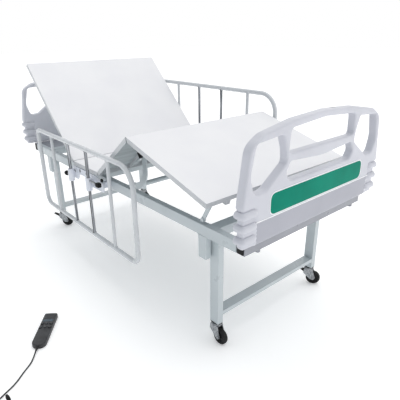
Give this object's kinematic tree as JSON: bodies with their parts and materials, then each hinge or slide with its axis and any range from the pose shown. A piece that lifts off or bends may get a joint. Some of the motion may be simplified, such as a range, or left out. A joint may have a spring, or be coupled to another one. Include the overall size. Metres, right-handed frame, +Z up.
{
  "type": "adjustable hospital bed",
  "caption": "Adjustable hospital bed with a folding four-section platform, moulded end boards, sliding side guards, castors and a corded handset.",
  "frame": {"origin": "middle of the footprint of the bed and its handset, at floor level; the middle of the bed itself is 246 mm towards +Y", "axes": "+X towards the foot end, +Y towards the patient's left, +Z up"},
  "size_m": [2.074, 1.72, 1.1154],
  "materials": {
    "powder_coat": "white powder coat, semi-gloss",
    "deck_enamel": "white enamelled sheet steel",
    "board_plastic": "moulded white plastic with a satin gloss",
    "green_insert": "teal green printed plastic, gloss",
    "chrome": "polished chrome plate",
    "zinc": "bright zinc plate",
    "black_plastic": "black moulded plastic",
    "wheel_rubber": "black rubber tread on a grey hub",
    "motor_plastic": "grey moulded housing",
    "handset_plastic": "charcoal textured plastic",
    "button_rubber": "soft rubber keys",
    "cord_sheath": "flexible charcoal sheath"
  },
  "bodies": {
    "root": {"side_rail_near": "powder_coat", "side_rail_far": "powder_coat", "head_end_tube": "powder_coat", "foot_end_tube": "powder_coat", "head_leg_frame": "powder_coat", "foot_leg_frame": "powder_coat", "back_cross_tube": "powder_coat", "middle_cross_tube": "powder_coat", "seat_cross_tube": "powder_coat", "seat_plate_near": "powder_coat", "seat_plate_far": "powder_coat", "seat_panel": "deck_enamel", "headboard": "board_plastic", "footboard": "board_plastic", "headboard_insert": "green_insert", "footboard_insert": "green_insert", "back_actuator_body": "motor_plastic", "knee_actuator_body": "motor_plastic", "control_box": "motor_plastic", "handset_body": "handset_plastic", "handset_cord": "cord_sheath", "cord_coil": "cord_sheath", "handset_plug": "black_plastic"},
    "backrest": {"back_panel": "deck_enamel", "back_lever": "powder_coat"},
    "thigh_section": {"thigh_panel": "deck_enamel", "thigh_arm_near": "powder_coat", "thigh_arm_far": "powder_coat", "thigh_bow_tube": "powder_coat"},
    "leg_section": {"leg_panel": "deck_enamel"},
    "prop_near": {"leg_prop_near": "powder_coat"},
    "prop_far": {"leg_prop_far": "powder_coat"},
    "back_rod": {"back_actuator_rod": "zinc"},
    "knee_rod": {"knee_actuator_rod": "zinc"},
    "swivel_head_near": {"castor_fork_head_near": "zinc"},
    "wheel_head_near": {"castor_wheel_head_near": "wheel_rubber"},
    "pedal_head_near": {"brake_pedal_head_near": "black_plastic"},
    "swivel_head_far": {"castor_fork_head_far": "zinc"},
    "wheel_head_far": {"castor_wheel_head_far": "wheel_rubber"},
    "swivel_foot_near": {"castor_fork_foot_near": "zinc"},
    "wheel_foot_near": {"castor_wheel_foot_near": "wheel_rubber"},
    "swivel_foot_far": {"castor_fork_foot_far": "zinc"},
    "wheel_foot_far": {"castor_wheel_foot_far": "wheel_rubber"},
    "pedal_foot_far": {"brake_pedal_foot_far": "black_plastic"},
    "side_guard_near": {"guard_near": "powder_coat", "guard_bar_head_near": "chrome", "guard_bar_foot_near": "chrome"},
    "latch_head_near": {"latch_knob_head_near": "black_plastic"},
    "latch_foot_near": {"latch_knob_foot_near": "black_plastic"},
    "side_guard_far": {"guard_far": "powder_coat", "guard_bar_head_far": "chrome", "guard_bar_foot_far": "chrome"},
    "latch_head_far": {"latch_knob_head_far": "black_plastic"},
    "latch_foot_far": {"latch_knob_foot_far": "black_plastic"},
    "button_body_upper_1": {"button_upper_1": "button_rubber"},
    "button_body_upper_2": {"button_upper_2": "button_rubber"},
    "button_body_upper_3": {"button_upper_3": "button_rubber"},
    "button_body_lower_1": {"button_lower_1": "button_rubber"},
    "button_body_lower_2": {"button_lower_2": "button_rubber"},
    "button_body_lower_3": {"button_lower_3": "button_rubber"}
  },
  "joints": [
    {"name": "back_hinge", "type": "hinge", "parent": "root", "child": "backrest", "pos_m": [-0.248, 0.24558, 0.624], "axis": [0, 1, 0], "range_deg": [-45, 20]},
    {"name": "thigh_hinge", "type": "hinge", "parent": "root", "child": "thigh_section", "pos_m": [0.022, 0.24558, 0.624], "axis": [0, -1, 0], "range_deg": [-37.5, 7.5]},
    {"name": "leg_hinge", "type": "hinge", "parent": "thigh_section", "child": "leg_section", "pos_m": [0.33061, 0.24558, 0.86081], "axis": [0, -1, 0], "range_deg": [-10.8, 53.8]},
    {"name": "prop_hinge_near", "type": "hinge", "parent": "leg_section", "child": "prop_near", "pos_m": [0.81295, -0.13542, 0.68943], "axis": [0, -1, 0], "range_deg": [-75.3, 15.1]},
    {"name": "prop_hinge_far", "type": "hinge", "parent": "leg_section", "child": "prop_far", "pos_m": [0.81295, 0.62658, 0.68943], "axis": [0, -1, 0], "range_deg": [-75.3, 15.1]},
    {"name": "back_rod_slide", "type": "slide", "parent": "root", "child": "back_rod", "axis": [-1, 0, 0], "range_m": [-0.0985, 0.044]},
    {"name": "knee_rod_slide", "type": "slide", "parent": "root", "child": "knee_rod", "axis": [1, 0, 0], "range_m": [-0.0828, 0.0167]},
    {"name": "castor_swivel_head_near", "type": "hinge", "parent": "root", "child": "swivel_head_near", "pos_m": [-0.8, -0.09742, 0.09], "axis": [0, 0, 1], "continuous": true},
    {"name": "wheel_roll_head_near", "type": "hinge", "parent": "swivel_head_near", "child": "wheel_head_near", "pos_m": [-0.78091, -0.07832, 0.0375], "axis": [-0.7071, 0.7071, 0], "continuous": true},
    {"name": "brake_pedal_head_near", "type": "hinge", "parent": "swivel_head_near", "child": "pedal_head_near", "pos_m": [-0.8099, -0.10731, 0.074], "axis": [0.7071, -0.7071, 0], "range_deg": [0, 14]},
    {"name": "castor_swivel_head_far", "type": "hinge", "parent": "root", "child": "swivel_head_far", "pos_m": [-0.8, 0.58859, 0.09], "axis": [0, 0, 1], "continuous": true},
    {"name": "wheel_roll_head_far", "type": "hinge", "parent": "swivel_head_far", "child": "wheel_head_far", "pos_m": [-0.77359, 0.5942, 0.0375], "axis": [-0.2079, 0.9781, 0], "continuous": true},
    {"name": "castor_swivel_foot_near", "type": "hinge", "parent": "root", "child": "swivel_foot_near", "pos_m": [0.8, -0.09742, 0.09], "axis": [0, 0, 1], "continuous": true},
    {"name": "wheel_roll_foot_near", "type": "hinge", "parent": "swivel_foot_near", "child": "wheel_foot_near", "pos_m": [0.827, -0.09742, 0.0375], "axis": [0, 1, 0], "continuous": true},
    {"name": "castor_swivel_foot_far", "type": "hinge", "parent": "root", "child": "swivel_foot_far", "pos_m": [0.8, 0.58859, 0.09], "axis": [0, 0, 1], "continuous": true},
    {"name": "wheel_roll_foot_far", "type": "hinge", "parent": "swivel_foot_far", "child": "wheel_foot_far", "pos_m": [0.82338, 0.60208, 0.0375], "axis": [-0.5, 0.866, 0], "continuous": true},
    {"name": "brake_pedal_foot_far", "type": "hinge", "parent": "swivel_foot_far", "child": "pedal_foot_far", "pos_m": [0.78788, 0.58159, 0.074], "axis": [0.5, -0.866, 0], "range_deg": [0, 14]},
    {"name": "guard_slide_near", "type": "slide", "parent": "root", "child": "side_guard_near", "axis": [0, 0, 1], "range_m": [0, 0.218]},
    {"name": "latch_pull_head_near", "type": "slide", "parent": "root", "child": "latch_head_near", "axis": [-1, 0, 0], "range_m": [0, 0.008], "stiffness_N_per_m": 400},
    {"name": "latch_pull_foot_near", "type": "slide", "parent": "root", "child": "latch_foot_near", "axis": [1, 0, 0], "range_m": [0, 0.008], "stiffness_N_per_m": 400},
    {"name": "guard_slide_far", "type": "slide", "parent": "root", "child": "side_guard_far", "axis": [0, 0, 1], "range_m": [-0.218, 0]},
    {"name": "latch_pull_head_far", "type": "slide", "parent": "root", "child": "latch_head_far", "axis": [-1, 0, 0], "range_m": [0, 0.008], "stiffness_N_per_m": 400},
    {"name": "latch_pull_foot_far", "type": "slide", "parent": "root", "child": "latch_foot_far", "axis": [1, 0, 0], "range_m": [0, 0.008], "stiffness_N_per_m": 400},
    {"name": "button_press_upper_1", "type": "slide", "parent": "root", "child": "button_body_upper_1", "axis": [0, 0, -1], "range_m": [0, 0.0012], "stiffness_N_per_m": 600},
    {"name": "button_press_upper_2", "type": "slide", "parent": "root", "child": "button_body_upper_2", "axis": [0, 0, -1], "range_m": [0, 0.0012], "stiffness_N_per_m": 600},
    {"name": "button_press_upper_3", "type": "slide", "parent": "root", "child": "button_body_upper_3", "axis": [0, 0, -1], "range_m": [0, 0.0012], "stiffness_N_per_m": 600},
    {"name": "button_press_lower_1", "type": "slide", "parent": "root", "child": "button_body_lower_1", "axis": [0, 0, -1], "range_m": [0, 0.0012], "stiffness_N_per_m": 600},
    {"name": "button_press_lower_2", "type": "slide", "parent": "root", "child": "button_body_lower_2", "axis": [0, 0, -1], "range_m": [0, 0.0012], "stiffness_N_per_m": 600},
    {"name": "button_press_lower_3", "type": "slide", "parent": "root", "child": "button_body_lower_3", "axis": [0, 0, -1], "range_m": [0, 0.0012], "stiffness_N_per_m": 600}
  ],
  "couplings": [
    {"joint": "leg_hinge", "follows": "thigh_hinge", "ratio": -1.432},
    {"joint": "prop_hinge_near", "follows": "thigh_hinge", "ratio": 2.005},
    {"joint": "prop_hinge_far", "follows": "thigh_hinge", "ratio": 2.005},
    {"joint": "back_rod_slide", "follows": "back_hinge", "m_per_rad": 0.125},
    {"joint": "knee_rod_slide", "follows": "thigh_hinge", "m_per_rad": 0.126}
  ]
}
